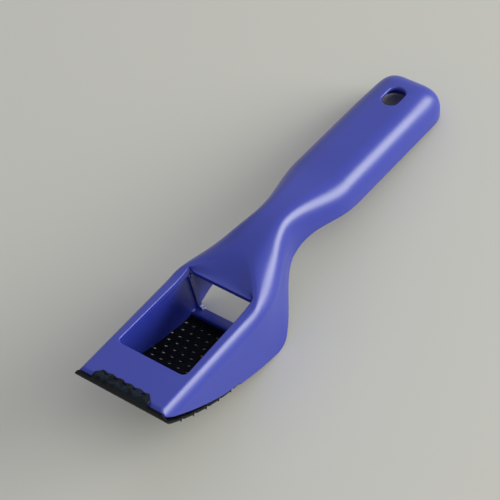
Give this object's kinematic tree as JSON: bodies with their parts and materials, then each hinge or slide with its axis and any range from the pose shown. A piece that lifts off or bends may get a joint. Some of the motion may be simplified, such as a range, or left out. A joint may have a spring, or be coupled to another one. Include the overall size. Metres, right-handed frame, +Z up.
{
  "type": "rasp plane",
  "caption": "Small hand rasp plane: a one-piece moulded handle and head with a chip window, carrying a curved perforated rasp blade that hooks over the nose.",
  "frame": {"origin": "middle of the bounding box at its bottom, on the bench that the tool lies on", "axes": "+X along the bench from the nose to the handle end, +Y across to the tool's left-hand side seen from the handle, +Z up; the tool rests on its heel and its handle end, nose up"},
  "size_m": [0.1982, 0.041, 0.0437],
  "materials": {
    "blue_plastic": "satin moulded blue-violet plastic",
    "black_steel": "black hardened sheet steel, teeth worn a little brighter"
  },
  "bodies": {
    "body": {"body": "blue_plastic"},
    "blade": {"blade": "black_steel"}
  },
  "joints": [
    {"name": "blade_release", "type": "slide", "parent": "body", "child": "blade", "axis": [-0.9873, 0, 0.159], "range_m": [0, 0.075]}
  ]
}
